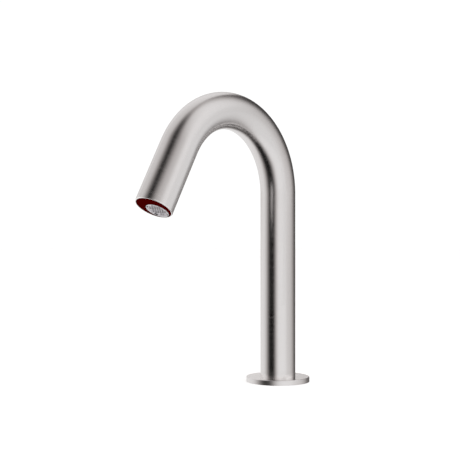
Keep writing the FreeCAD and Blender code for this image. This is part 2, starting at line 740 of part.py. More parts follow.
def make_sensor():
    """Case, cap, board, diodes and leads, each in a frame on the sensor's own axis."""
    room_width, room_thick = "(case_width - 2*case_wall)", "(case_thick - 2*case_wall)"
    case = new_body("sensor_case")
    centred_box("Additive", case, "block", "case_width", "case_thick", INSERT_FRONT, "case_depth")
    centred_box("Subtractive", case, "room", room_width, room_thick, EYE_BACK, f"{CASE_BACK} - {EYE_BACK}")
    for side, across in (("left", "-eye_spacing/2"), ("right", "eye_spacing/2")):
        eye_room = f"{EYE_BACK} - {INSERT_FRONT}"
        drill(case, f"{side}_eye", "eye_dia/2 + fit_gap", INSERT_FRONT, eye_room, across)
    keep(place_at_outlet(case, back="-sensor_offset"), "sensor_case")

    fit_width, fit_thick = f"({room_width} - 2*fit_gap)", f"({room_thick} - 2*fit_gap)"
    cap = new_body("sensor_cap")
    centred_box("Additive", cap, "block", fit_width, fit_thick, CAP_FRONT, "cap_thick")
    drill(cap, "cable_hole", "cable_dia/2 + fit_gap", CAP_FRONT, "cap_thick")
    keep(place_at_outlet(cap, back="-sensor_offset"), "sensor_cap")

    board = new_body("sensor_board")
    centred_box("Additive", board, "sheet", fit_width, fit_thick, EYE_BACK, "board_thick")
    keep(place_at_outlet(board, back="-sensor_offset"), "sensor_board")

    make_eye("infrared_emitter", "eye_spacing/2")
    make_eye("infrared_receiver", "-eye_spacing/2")

    leads = []
    for step in (-1, 0, 1):
        lead = doc.addObject("Part::Cylinder", f"sensor_lead_{step + 2}")
        lead_foot = f"({EYE_BACK} + board_thick)"
        set_sizes(lead, Radius="lead_dia/2", Height=f"{CAP_FRONT} - {lead_foot}")
        leads.append(place_at_outlet(lead, f"{step}*lead_spacing", "-sensor_offset", lead_foot))
    group("sensor_leads", leads)


# Aerator: every piece is drawn about the aerator's axis


def at_aerator(thing):
    return place_at_outlet(thing, back="water_offset")


def make_aerator_housing():
    """The ring that screws into the insert: its head fills the window's hole."""
    thread, neck = "(aerator_thread/2 - fit_gap)", "(aerator_thread/2 - aerator_neck)"
    bore, lip = "(aerator_thread/2 - aerator_wall)", "(aerator_thread/2 - aerator_wall - aerator_lip)"
    head, head_back = "(head_dia/2)", f"({INSERT_FRONT} - ease)"
    lip_front, band = "(aerator_recess + lip_place)", f"({HOUSING_BACK} - thread_band)"
    body = turned_body(
        "aerator_housing",
        [
            (bore, "aerator_recess"),
            (head, "aerator_recess"),
            (head, head_back),
            (neck, head_back),
            (neck, band),
            (thread, band),
            (thread, HOUSING_BACK),
            (bore, HOUSING_BACK),
            (bore, LIP_BACK),
            (lip, LIP_BACK),
            (lip, lip_front),
            (bore, lip_front),
        ],
    )
    slot_reach = f"({head} - key_slot_rim - {bore})"
    turn, inner = "(key_slot_turn * 1 deg)", f"({bore} - {slot_reach})"
    slot = mill(
        body,
        "key_slot",
        (f"2*{slot_reach}", "key_slot_width", "key_slot_depth"),
        (
            f"{inner}*cos({turn}) + key_slot_width/2*sin({turn})",
            f"{inner}*sin({turn}) - key_slot_width/2*cos({turn})",
            "aerator_recess",
        ),
    )
    slot.Placement.Rotation = Rotation(Vector(0, 0, 1), 45)
    set_sizes(slot, **{"Placement.Rotation.Angle": turn})
    repeat_round(body, slot, "key_slots")
    return keep(at_aerator(body), "aerator_housing")


def holed_disc(label, low, thick, rim, cells):
    """A flat disc with many equal openings, cut from one face that has them as holes."""
    top = Vector(0, 0, number(low))
    outline = Part.Wire([Part.Circle(top, Vector(0, 0, 1), number(rim)).toShape()])
    disc = doc.addObject("Part::Feature", label)
    disc.Shape = Part.Face([outline, *cells]).extrude(Vector(0, 0, number(thick)))
    return disc


def six_sided_cell(centre, width, turn):
    """A hexagon as wide as given between two sides, which stand across its row."""
    radius = width / math.sqrt(3)
    turns = [math.radians(turn + 30 - 60 * corner) for corner in range(7)]
    return Part.makePolygon(
        [centre + Vector(radius * math.cos(turn), radius * math.sin(turn), 0) for turn in turns]
    )


def round_cell(centre, diameter):
    return Part.Wire([Part.Circle(centre, Vector(0, 0, -1), diameter / 2).toShape()])


def honeycomb(pitch, reach, low, turn=0):
    """Points in staggered rows about the axis, no further out than reach; turned from X in degrees."""
    row_gap = pitch * math.sqrt(3) / 2
    rows, steps = int(reach / row_gap), int(reach / pitch) + 1
    for row in range(-rows, rows + 1):
        for step in range(-steps, steps + 1):
            x, y = (step + (row % 2) / 2) * pitch, row * row_gap
            if math.hypot(x, y) <= reach:
                yield Rotation(Vector(0, 0, 1), turn).multVec(Vector(x, y, low))


def make_aerator_discs():
    """The honeycomb outlet grille and the two air screens behind it."""
    rim = number(CORE_R)
    cell, bar, turn = number("grille_cell"), number("grille_bar"), number("grille_turn")
    grille_low = "aerator_recess + lip_place - grille_thick"
    reach = rim - bar - cell / math.sqrt(3)
    centres = honeycomb(cell + bar, reach, number(grille_low), turn)
    cells = [six_sided_cell(centre, cell, turn) for centre in centres]
    grille = holed_disc("aerator_grille", grille_low, "grille_thick", CORE_R, cells)
    keep(at_aerator(grille), "aerator_grille")

    hole, pitch = number("screen_hole"), number("screen_pitch")
    screens = []
    for order in (0, 1):
        low = f"{LIP_BACK} + {order}*screen_thick"
        holes = [round_cell(point, hole) for point in honeycomb(pitch, rim - hole, number(low))]
        screen = holed_disc(f"air_screen_{order + 1}", low, "screen_thick", CORE_R, holes)
        screens.append(at_aerator(screen))
    group("air_screens", screens)


def make_jet_plate():
    body = turned_body(
        "jet_plate", [("0", SCREENS_BACK), (CORE_R, SCREENS_BACK), (CORE_R, JETS_BACK), ("0", JETS_BACK)]
    )
    jet = drill(body, "jet", "jet_hole_dia/2", SCREENS_BACK, "jet_thick", "jet_circle/2")
    repeat_round(body, jet, "jet_holes")
    return keep(at_aerator(body), "jet_plate")


def make_flow_regulator():
    inner = "(regulator_circle/2 - regulator_channel/2)"
    outer = "(regulator_circle/2 + regulator_channel/2)"
    floor = f"({JETS_BACK} + regulator_floor)"
    body = turned_body(
        "flow_regulator",
        [
            ("0", JETS_BACK),
            (CORE_R, JETS_BACK),
            (CORE_R, REGULATOR_BACK),
            (outer, REGULATOR_BACK),
            (outer, floor),
            (inner, floor),
            (inner, REGULATOR_BACK),
            ("0", REGULATOR_BACK),
        ],
    )
    port = drill(body, "port", "port_dia/2", JETS_BACK, "regulator_floor", "regulator_circle/2")
    repeat_round(body, port, "regulator_ports")
    keep(at_aerator(body), "flow_regulator")

    ring = doc.addObject("Part::Torus", "regulator_ring")
    set_sizes(ring, Radius1="regulator_circle/2", Radius2="regulator_ring_dia/2")
    place_at_outlet(ring, back="water_offset", depth=f"{floor} + regulator_ring_dia/2 + fit_gap")
    keep(ring, "regulator_ring")


def make_strainer():
    rim_back = f"({REGULATOR_BACK} + strainer_rim)"
    top = f"({rim_back} + strainer_rise)"
    base_r, top_r = "strainer_base/2", "strainer_top/2"
    body = turned_body(
        "inlet_strainer",
        [
            (f"{base_r} - strainer_wall", REGULATOR_BACK),
            (CORE_R, REGULATOR_BACK),
            (CORE_R, rim_back),
            (base_r, rim_back),
            (top_r, top),
            ("0", top),
            ("0", f"{top} - strainer_wall"),
            (f"{top_r} - strainer_wall", f"{top} - strainer_wall"),
            (f"{base_r} - strainer_wall", rim_back),
        ],
    )
    slot = mill(
        body,
        "slot",
        ("strainer_base", "strainer_slot", "strainer_rise - 2*strainer_wall"),
        ("strainer_top/4", "-strainer_slot/2", f"{rim_back} + strainer_wall/2"),
    )
    repeat_round(body, slot, "strainer_slots")
    return keep(at_aerator(body), "inlet_strainer")


def make_aerator_washer():
    outer = "aerator_thread/2 - ease"
    corners = ring_corners(f"{outer} - seal_washer_width", outer, HOUSING_BACK, WASHER_SEAT)
    return keep(at_aerator(turned_body("aerator_washer", corners)), "aerator_washer")


def check_and_export():
    """Stops at any failed object or broken solid, then writes one file a sub-part."""
    doc.recompute()
    failed = [thing.Label for thing in doc.Objects if {"Invalid", "Error"} & set(thing.State)]
    if failed:
        raise RuntimeError(f"failed objects: {failed}")
    os.makedirs("parts", exist_ok=True)
    for node in nodes:
        shape = node.Shape
        if shape.isNull() or not shape.isValid() or not shape.Solids:
            raise RuntimeError(f"{node.Label} has no valid solid")
        shape.exportStep(f"parts/{node.Label}.step")
        print(f"{node.Label}: {len(shape.Solids)} solid(s), {shape.Volume:.1f} mm3")


fill_sheet()
make_spout_tube()
make_base_flange()
make_base_core()
make_deck_seal()
make_waterway()
make_spacers()
make_cable()
make_socket()
make_outlet_insert()
make_insert_ring()
make_grub_screw()
make_window()
make_sensor()
make_aerator_housing()
make_aerator_discs()
make_jet_plate()
make_flow_regulator()
make_strainer()
make_aerator_washer()
check_and_export()
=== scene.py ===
"""The looks of the sensor tap: a brushed steel spout on a turned flange, with a dark red window and
a honeycomb aerator at its outlet.

All lengths are in metres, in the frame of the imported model. Turned pieces are drawn as an outline
of (radius, height) corners and spun about Z; those at the outlet are then moved there whole.
"""

import json
import math

import bmesh
import bpy
from mathutils import Matrix, Vector


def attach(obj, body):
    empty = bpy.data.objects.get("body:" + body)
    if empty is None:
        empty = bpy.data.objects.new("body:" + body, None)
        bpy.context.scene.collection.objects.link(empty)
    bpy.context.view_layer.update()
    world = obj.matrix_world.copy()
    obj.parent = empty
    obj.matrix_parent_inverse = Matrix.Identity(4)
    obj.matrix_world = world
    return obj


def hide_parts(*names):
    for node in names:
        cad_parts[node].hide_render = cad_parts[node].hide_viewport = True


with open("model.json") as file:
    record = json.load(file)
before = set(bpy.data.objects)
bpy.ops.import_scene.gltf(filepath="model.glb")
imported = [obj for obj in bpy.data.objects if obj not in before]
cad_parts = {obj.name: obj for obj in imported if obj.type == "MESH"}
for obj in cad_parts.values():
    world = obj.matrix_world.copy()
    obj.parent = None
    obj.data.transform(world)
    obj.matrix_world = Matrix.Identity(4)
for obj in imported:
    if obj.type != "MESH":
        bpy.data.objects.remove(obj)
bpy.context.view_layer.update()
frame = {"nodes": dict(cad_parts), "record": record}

MM = 0.001

# The spout's run, from the deck to its cut end
TUBE_R, BORE_R = 14 * MM, 13.2 * MM
COLUMN_RISE, BEND_RADIUS, BEND_ANGLE, OUTLET_RUN = 150 * MM, 61 * MM, math.radians(150), 50.9 * MM
SPOUT_LENGTH = COLUMN_RISE + BEND_RADIUS * BEND_ANGLE + OUTLET_RUN
TUBE_FOOT, RIM_ROUND = 3.2 * MM, 0.5 * MM
FLANGE_R = 25.25 * MM

# Outlet: distances along the tube's axis are measured from its cut end
WATER_OFFSET = 4.2 * MM
AERATOR_FACE, AERATOR_BACK = 0.1 * MM, 9.7 * MM
HEAD_R, AERATOR_BORE_R = 8.7 * MM, 7.25 * MM
SCREW_DEPTH = 17.1 * MM
AERATOR_TURN = math.radians(4)
KEY_SLOT_WALL, KEY_SLOT_DEPTH, KEY_SLOT_WIDTH = 0.7 * MM, 1.2 * MM, 2.2 * MM
GRILLE_FACE = 0.8 * MM


def outlet_frame():
    """Z runs up into the tube from the centre of its cut end, and Y points back to the column."""
    sine, cosine = math.sin(BEND_ANGLE), math.cos(BEND_ANGLE)
    along = -BEND_RADIUS * (1 - cosine) - OUTLET_RUN * sine
    up = COLUMN_RISE + BEND_RADIUS * sine + OUTLET_RUN * cosine
    axes = Matrix(((1, 0, 0), (0, -cosine, sine), (0, -sine, -cosine)))
    return Matrix.Translation((0, along, up)) @ axes.to_4x4()


OUTLET = outlet_frame()
AERATOR = OUTLET @ Matrix.Translation((0, WATER_OFFSET, 0))
OUT_OF_THE_BACK = Matrix.Rotation(math.radians(-90), 4, "X")
GRUB_SCREW = OUTLET @ Matrix.Translation((0, 0, SCREW_DEPTH)) @ OUT_OF_THE_BACK


# Node trees


class Wire:
    """An output socket. Python's operators on it add Math nodes to its tree."""

    def __init__(self, board, socket):
        self.board, self.socket = board, socket

    def beside(self, name):
        """Another output of the same node."""
        return Wire(self.board, find_socket(self.socket.node.outputs, name))

    def __add__(self, other):
        return self.board.math("ADD", self, other)

    def __radd__(self, other):
        return self.board.math("ADD", other, self)

    def __sub__(self, other):
        return self.board.math("SUBTRACT", self, other)

    def __rsub__(self, other):
        return self.board.math("SUBTRACT", other, self)

    def __mul__(self, other):
        return self.board.math("MULTIPLY", self, other)

    def __rmul__(self, other):
        return self.board.math("MULTIPLY", other, self)

    def __truediv__(self, other):
        return self.board.math("DIVIDE", self, other)

    def __rtruediv__(self, other):
        return self.board.math("DIVIDE", other, self)

    def __lt__(self, other):
        return self.board.math("LESS_THAN", self, other)

    def __gt__(self, other):
        return self.board.math("GREATER_THAN", self, other)


def find_socket(sockets, key):
    if isinstance(key, int):
        return sockets[key]
    for socket in sockets:
        if socket.identifier == key:
            return socket
    return sockets[key]


class Board:
    """A node tree that nodes are added to, by type, settings and socket values."""

    def __init__(self, tree):
        self.tree = tree

    def node(self, kind, settings=None, sockets=None, output=0):
        """Adds a node and gives the wire from one of its outputs, by number or name."""
        node = self.tree.nodes.new(kind)
        for key, value in (settings or {}).items():
            if key == "stops":
                self.set_stops(node.color_ramp, value)
            else:
                setattr(node, key, value)
        for key, value in (sockets or {}).items():
            socket = find_socket(node.inputs, key)
            for one in value if isinstance(value, list) else [value]:
                if isinstance(one, Wire):
                    self.tree.links.new(one.socket, socket)
                else:
                    socket.default_value = one
        return Wire(self, node.outputs[output]) if node.outputs else None

    @staticmethod
    def set_stops(ramp, stops):
        while len(ramp.elements) < len(stops):
            ramp.elements.new(1.0)
        for element, (place, colour) in zip(ramp.elements, stops):
            element.position, element.color = place, colour

    def math(self, operation, *terms):
        return self.node("ShaderNodeMath", {"operation": operation}, dict(enumerate(terms)))

    def split(self, vector):
        x = self.node("ShaderNodeSeparateXYZ", sockets={0: vector})
        return x, x.beside("Y"), x.beside("Z")

    def join(self, x, y, z):
        return self.node("ShaderNodeCombineXYZ", sockets={0: x, 1: y, 2: z})

    def length(self, x, y):
        return self.math("SQRT", x * x + y * y)

    def step(self, value, low, high):
        """0 below low, 1 above high and a smooth rise between them."""
        sockets = {"Value": value, "From Min": low, "From Max": high}
        return self.node("ShaderNodeMapRange", {"interpolation_type": "SMOOTHSTEP"}, sockets)

    def noise(self, vector, scale, detail=2.0):
        sockets = {"Vector": vector, "Scale": scale, "Detail": detail}
        return self.node("ShaderNodeTexNoise", sockets=sockets)

    def mix(self, share, first, second):
        """A colour between two: the first at share 0 and the second at share 1."""
        sockets = {"Factor_Float": share, "A_Color": first, "B_Color": second}
        return self.node("ShaderNodeMix", {"data_type": "RGBA"}, sockets).beside("Result_Color")


# Finishes

# A darker and a lighter tone of each metal, which its grain goes between
TUBE_STEEL = ((0.70, 0.682, 0.679), (0.74, 0.72, 0.716))
# The rim's lighter tone is a painted highlight
TUBE_RIM_PAINTED_HIGHLIGHT = ((0.88, 0.87, 0.86), (0.94, 0.93, 0.92))
# Painted light: the flange's top is painted lighter than its wall, as lit and shaded tones of one steel
FLANGE_TOP_PAINTED_LIGHTER = ((0.82, 0.80, 0.797), (0.87, 0.85, 0.846))
FLANGE_WALL_PAINTED_DARKER = ((0.74, 0.722, 0.719), (0.79, 0.77, 0.766))
INNER_STEEL = ((0.50, 0.49, 0.48), (0.60, 0.59, 0.58))
SCREW_STEEL = ((0.34, 0.335, 0.33), (0.46, 0.455, 0.45))

# Painted light: the lighter tone of the column's foot, against the shade its reflections bring there
TUBE_FOOT_PAINTED_LIGHT = (0.93, 0.91, 0.905)


class Finish(Board):
    """A material with one Principled shader. Constants go on the shader's own sockets."""

    def __init__(self, name, **constants):
        self.material = bpy.data.materials.new(name)
        self.material.use_nodes = True
        super().__init__(self.material.node_tree)
        self.tree.nodes.clear()
        surface = self.node("ShaderNodeBsdfPrincipled")
        self.shader = surface.socket.node
        self.node("ShaderNodeOutputMaterial", sockets={"Surface": surface})
        for key, value in constants.items():
            self.shader.inputs[key.replace("_", " ")].default_value = value

    def feed(self, **wires):
        """Links wires to the shader's sockets, such as Base_Color and Roughness."""
        for key, wire in wires.items():
            self.tree.links.new(wire.socket, self.shader.inputs[key.replace("_", " ")])
        return self

    def raise_by(self, height, distance):
        """Bumps the surface up by distance where height is 1."""
        sockets = {"Height": height, "Distance": distance, "Strength": 1.0}
        return self.feed(Normal=self.node("ShaderNodeBump", sockets=sockets))

    def between(self, share, dark, light):
        return self.mix(share, (*dark, 1), (*light, 1))

    def tint(self, share, dark, light):
        return self.feed(Base_Color=self.between(share, dark, light))

    def place(self, about=None):
        """Object coordinates, counted in the frame given where the piece has its own."""
        spot = self.node("ShaderNodeTexCoord", output="Object")
        if about is None:
            return spot
        inward = about.inverted()
        sockets = {"Vector": spot, "Location": inward.to_translation(), "Rotation": inward.to_euler()}
        return self.node("ShaderNodeMapping", sockets=sockets)


def brushed_tube():
    """Steel brushed round the tube, so its lines follow the tube along the bend. Its rim is polished,
    with a painted highlight in its lighter tone, and its foot has painted light: a lighter steel there."""
    finish = Finish("brushed tube steel", Metallic=1.0)
    around, along, _ = finish.split(finish.node("ShaderNodeTexCoord", output="UV"))
    turn = around * (2 * math.pi)
    east, north = finish.math("COSINE", turn), finish.math("SINE", turn)
    fine = finish.noise(finish.join(east * 0.9, north * 0.9, along * 2600), 1.0, 3.0)
    broad = finish.noise(finish.join(east * 0.7, north * 0.7, along * 800), 1.0, 2.0)
    stain = finish.noise(finish.join(east, north, along * 18), 1.4, 3.0)
    # The outline starts at the bore, so the outer wall begins one wall's thickness along it, and it
    # ends where the rounding of the cut end begins
    wall = TUBE_R - BORE_R
    # Painted light: the column's foot is painted a lighter steel, against the shade that the flange's
    # reflection lays there
    foot = 1.0 - finish.step(along, wall + 1.0 * MM, wall + 4.8 * MM)
    rim = along > SPOUT_LENGTH - TUBE_FOOT + wall - RIM_ROUND
    brushed = finish.between(fine * 0.3 + broad * 0.3 + stain * 0.4, *TUBE_STEEL)
    brushed = finish.mix(foot, brushed, (*TUBE_FOOT_PAINTED_LIGHT, 1))
    # Painted highlight: the polished rim takes a lighter tone besides its real lower roughness
    polished_painted_highlight = finish.between(fine, *TUBE_RIM_PAINTED_HIGHLIGHT)
    finish.feed(Base_Color=finish.mix(rim, brushed, polished_painted_highlight))
    finish.feed(Roughness=(0.17 + broad * 0.12 + fine * 0.03) * (1.0 - rim * 0.6))
    return finish.raise_by((fine * 0.7 + broad * 0.3) * (1.0 - rim), 0.0045 * MM)


def turned_metal(name, tones, roughness, about=None, depth=0.006 * MM, wall=1.0, wall_painted_tones=None):
    """Metal from the lathe, with rings about its axis. Beyond the radius of its outer wall, which most
    pieces never reach, it is rougher and can take other tones: painted light, a wall darker than the
    top."""
    pitch = 0.25 * MM
    finish = Finish(name, Metallic=1.0)
    x, y, height = finish.split(finish.place(about))
    radius = finish.length(x, y)
    rings = finish.noise(finish.join(radius / pitch, height / pitch, x * 40 + y * 25), 1.0, 2.5)
    cloud = finish.noise(finish.join(x * 90, y * 90, height * 90), 1.0, 3.0)
    grain, outside = rings * 0.6 + cloud * 0.4, radius > wall
    tone = finish.between(grain, *tones)
    # Painted light: where given, the wall's tones differ from the top's, as lit and shaded copies of one
    # steel
    if wall_painted_tones:
        tone = finish.mix(outside, tone, finish.between(grain, *wall_painted_tones))
    finish.feed(Base_Color=tone)
    finish.feed(Roughness=(roughness - 0.05) + rings * 0.06 + cloud * 0.04 + outside * 0.1)
    return finish.raise_by(rings, depth)


def moulded(name, dark, light, roughness, **constants):
    """Plastic or rubber from a mould, with a fine grain and a slightly uneven tone."""
    grain, depth = 0.5 * MM, 0.004 * MM
    finish = Finish(name, **constants)
    place = finish.place()
    fine = finish.noise(place, 1.0 / grain, 3.0)
    cloud = finish.noise(place, 160.0, 2.0)
    finish.tint(cloud * 0.7 + fine * 0.3, dark, light)
    finish.feed(Roughness=(roughness - 0.05) + cloud * 0.06 + fine * 0.04)
    return finish.raise_by(fine, depth)


def base_brass():
    """Turned brass with screw threads in the inlet and in the stud holes."""
    finish = Finish("turned base brass", Metallic=1.0)
    x, y, height = finish.split(finish.place())
    radius = finish.length(x, y)
    feed, pitch = 0.3 * MM, 1.0 * MM
    rings = finish.noise(finish.join(radius / feed, height / feed, x * 30), 1.0, 2.5)
    # Where each threaded hole stands and how far its thread reaches, in millimetres
    inlet, left_stud, right_stud = (0, -4.2, 4.6), (-9, 1.5, 2.6), (9, 1.5, 2.6)
    threads = 0.0
    for across, along, reach in (inlet, left_stud, right_stud):
        east, north = x - across * MM, y - along * MM
        turn = finish.math("ARCTAN2", north, east) / (2 * math.pi)
        wave = finish.math("PINGPONG", height / pitch + turn, 0.5)
        threads = wave * (finish.length(east, north) < reach * MM) + threads
    finish.tint(rings, (0.60, 0.44, 0.20), (0.74, 0.57, 0.29))
    finish.feed(Roughness=0.24 + rings * 0.12)
    return finish.raise_by(threads * 8.0 + rings * 0.15, 0.06 * MM)


def ring_plastic():
    """The aerator's light moulding, with painted shade down in its key slots and along its face's outer
    edge.
    """
    finish = Finish("aerator moulding")
    place = finish.place(AERATOR)
    x, y, depth = finish.split(place)
    radius, depth = finish.length(x, y), depth - AERATOR_FACE
    fine = finish.noise(place, 2000.0, 3.0)
    margin = 0.1 * MM
    # Painted shade: the key slots and the outer edge of the face are painted nearly black
    slots = finish.step(depth, 0.03 * MM, 0.25 * MM) * (depth < KEY_SLOT_DEPTH + margin)
    slots = slots * (radius > AERATOR_BORE_R + margin) * (radius < HEAD_R - KEY_SLOT_WALL + margin)
    edge = finish.step(radius, HEAD_R - 0.25 * MM, HEAD_R - margin) * (depth < 0.22 * MM)
    light = finish.between(fine, (0.86, 0.84, 0.87), (0.94, 0.92, 0.95))
    painted_shade_tone = finish.between(fine, (0.015, 0.02, 0.02), (0.03, 0.04, 0.04))
    finish.feed(Base_Color=finish.mix(slots + edge, light, painted_shade_tone), Roughness=0.28 + fine * 0.08)
    return finish.raise_by(fine, 0.004 * MM)


def grille_plastic():
    """The white moulding with painted shade down in its cells."""
    finish = Finish("grille moulding")
    place = finish.place(AERATOR)
    _, _, depth = finish.split(place)
    fine = finish.noise(place, 1800.0, 3.0)
    # Painted shade: the cells' walls below the face are painted grey
    painted_cell_shade = finish.step(depth, GRILLE_FACE + 0.02 * MM, GRILLE_FACE + 0.5 * MM)
    light = finish.between(fine, (0.93, 0.90, 0.94), (0.97, 0.94, 0.98))
    painted_shade_tone = finish.between(fine, (0.42, 0.412, 0.43), (0.49, 0.48, 0.5))
    finish.feed(Base_Color=finish.mix(painted_cell_shade, light, painted_shade_tone), Roughness=0.36 + fine * 0.1)
    return finish.raise_by(fine, 0.004 * MM)


def dark_window():
    """Infrared plastic: nearly black red, smooth, with a trace of the saw's marks in its tone."""
    finish = Finish("infrared window red", Specular_IOR_Level=0.0)
    fine = finish.noise(finish.place(OUTLET), 900.0, 2.0)
    finish.tint(fine, (0.086, 0.0002, 0.0002), (0.104, 0.0006, 0.0006))
    finish.feed(Roughness=0.22 + fine * 0.06)
    return finish.raise_by(fine, 0.001 * MM)


def lacquered_board():
    """Green lacquer over thin copper tracks."""
    finish = Finish("board lacquer", Specular_IOR_Level=0.5)
    x, y, _ = finish.split(finish.place(OUTLET))
    pitch = 0.8 * MM
    lines = finish.math("PINGPONG", x / pitch, 0.5) + finish.math("PINGPONG", y / pitch, 0.5)
    track = finish.step(lines, 0.25, 0.3)
    finish.tint(track, (0.16, 0.26, 0.08), (0.02, 0.13, 0.05))
    finish.feed(Roughness=0.28 + track * 0.12)
    return finish.raise_by(track, 0.02 * MM)


def make_finishes():
    """Every slot of the record, by its name, and the grille's own finish."""
    clear = {"Transmission_Weight": 0.5, "IOR": 1.54}
    # The flange's top and wall tones are painted light
    wall = {"wall": FLANGE_R - 0.1 * MM, "wall_painted_tones": FLANGE_WALL_PAINTED_DARKER}
    plating, gold = ((0.62, 0.6, 0.55), (0.72, 0.7, 0.65)), ((0.72, 0.5, 0.18), (0.86, 0.64, 0.28))
    return {
        "brushed_tube": brushed_tube(),
        "turned_flange": turned_metal(
            "turned flange steel", FLANGE_TOP_PAINTED_LIGHTER, 0.23, depth=0.002 * MM, **wall
        ),
        "black_rubber": moulded("seal rubber", (0.012, 0.012, 0.012), (0.03, 0.03, 0.03), 0.62),
        "brass": base_brass(),
        "hose": moulded("inner hose plastic", (0.74, 0.76, 0.77), (0.84, 0.85, 0.85), 0.36),
        "ferrule": turned_metal("ferrule steel", INNER_STEEL, 0.2),
        "white_plastic": moulded("white moulding", (0.60, 0.585, 0.605), (0.68, 0.665, 0.685), 0.4),
        "cable_jacket": moulded("cable jacket", (0.02, 0.02, 0.022), (0.045, 0.045, 0.05), 0.48),
        "plated_brass": turned_metal("socket plating", plating, 0.22),
        "black_plastic": moulded("black moulding", (0.014, 0.014, 0.016), (0.035, 0.035, 0.04), 0.42),
        "gold_contact": turned_metal("contact gold", gold, 0.2),
        "steel_screw": turned_metal("screw steel", SCREW_STEEL, 0.3, GRUB_SCREW),
        "infrared_window": dark_window(),
        "circuit_board": lacquered_board(),
        "diode_clear": moulded("clear diode resin", (0.7, 0.73, 0.8), (0.8, 0.82, 0.88), 0.1, **clear),
        "diode_dark": moulded("dark diode resin", (0.02, 0.015, 0.025), (0.06, 0.05, 0.07), 0.12),
        "aerator_metal": ring_plastic(),
        "steel_screen": turned_metal("screen steel", INNER_STEEL, 0.3, AERATOR),
        "shaded_grille": grille_plastic(),
        "green_plastic": moulded("green moulding", (0.10, 0.34, 0.13), (0.16, 0.44, 0.19), 0.4),
    }


# Shapes


def rounded(corners, parts=5):
    """The outline's points: a corner with a third number is rounded by that radius."""
    line = []
    for index, corner in enumerate(corners):
        here = Vector(corner[:2])
        if len(corner) == 2:
            line.append(here)
            continue
        radius = corner[2]
        before = Vector(corners[index - 1][:2]) - here
        after = Vector(corners[(index + 1) % len(corners)][:2]) - here
        half = before.angle(after) / 2
        reach = radius / math.tan(half)
        centre = here + (before.normalized() + after.normalized()).normalized() * radius / math.sin(half)
        start, end = [here + leg.normalized() * reach - centre for leg in (before, after)]
        arc = [start.slerp(end, step / parts).normalized() for step in range(parts + 1)]
        arc = [centre + spot * radius for spot in arc]
        # A spare point beyond each end of the arc keeps the flats beside it flat when shaded smooth
        if before.length > reach + radius:
            arc.insert(0, arc[0] + before.normalized() * 0.3 * radius)
        if after.length > reach + radius:
            arc.append(arc[-1] + after.normalized() * 0.3 * radius)
        line += arc
    return [spot for spot, last in zip(line, line[-1:] + line[:-1]) if (spot - last).length > 1e-7]


def divided(line, step):
    """The same outline, with its long runs along Z cut into equal steps."""
    points = []
    for here, there in zip(line, line[1:] + line[:1]):
        count = max(1, round(abs(there.y - here.y) / step)) if step else 1
        points += [here.lerp(there, part / count) for part in range(count)]
    return points


def piece_of(name, mesh):
    """A new object in the scene with this bmesh, shaded smooth up to its sharp edges."""
    data = bpy.data.meshes.new(name)
    mesh.to_mesh(data)
    mesh.free()
    piece = bpy.data.objects.new(name, data)
    bpy.context.scene.collection.objects.link(piece)
    return smooth(piece)


def smooth(piece, sharp=32):
    piece.data.shade_smooth()
    piece.data.set_sharp_from_angle(angle=math.radians(sharp))
    return piece


def turned(name, corners, steps=128, row=None):
    """A closed body of revolution. Its UV map is (turns round the axis, metres along the outline)."""
    line = divided(rounded(corners), row)
    mesh = bmesh.new()
    layer = mesh.loops.layers.uv.new("UVMap")
    angles = [2 * math.pi * step / steps for step in range(steps)]
    rings = []
    for radius, height in line:
        spots = [(radius * math.cos(a), radius * math.sin(a), height) for a in angles]
        rings.append([mesh.verts.new(spot) for spot in (spots if radius > 1e-7 else spots[:1])])
    run = 0.0
    for index, lower in enumerate(rings):
        upper = rings[(index + 1) % len(rings)]
        rise = (line[(index + 1) % len(line)] - line[index]).length
        for step in range(steps):
            ends = [(lower, step, run), (lower, step + 1, run)]
            ends += [(upper, step + 1, run + rise), (upper, step, run + rise)]
            marks = {}
            for ring, turn, along in ends:
                marks.setdefault(ring[turn % len(ring)], (turn / steps, along))
            if len(marks) > 2:
                face = mesh.faces.new(marks)
                for loop in face.loops:
                    loop[layer].uv = marks[loop.vert]
        run += rise
    bmesh.ops.recalc_face_normals(mesh, faces=mesh.faces)
    return piece_of(name, mesh)


def prism(name, sides, radius, low, high, turn=0.0):
    """A straight bar with that many sides, to cut with."""
    mesh = bmesh.new()
    bmesh.ops.create_cone(
        mesh, cap_ends=True, segments=sides, radius1=radius, radius2=radius, depth=high - low
    )
    mesh.transform(Matrix.Rotation(turn, 4, "Z") @ Matrix.Translation((0, 0, (low + high) / 2)))
    return piece_of(name, mesh)


def moved(piece, matrix):
    piece.data.transform(matrix)
    return piece


def settled(piece):
    """Turns the piece's modifiers into a plain mesh."""
    bpy.context.view_layer.update()
    solved = piece.evaluated_get(bpy.context.evaluated_depsgraph_get())
    piece.data = bpy.data.meshes.new_from_object(solved)
    piece.modifiers.clear()
    return smooth(piece)


def cut(piece, *tools):
    """Takes the tools' shapes out of the piece."""
    for tool in tools:
        modifier = piece.modifiers.new("cut", "BOOLEAN")
        modifier.operation, modifier.solver, modifier.object = "DIFFERENCE", "EXACT", tool
    settled(piece)
    for tool in tools:
        bpy.data.objects.remove(tool)
    return piece


def joined(piece, *others):
    """One piece from several."""
    mesh = bmesh.new()
    for part in (piece, *others):
        mesh.from_mesh(part.data)
    mesh.to_mesh(piece.data)
    mesh.free()
    for other in others:
        bpy.data.objects.remove(other)
    return smooth(piece)


# Shapes that follow a rule


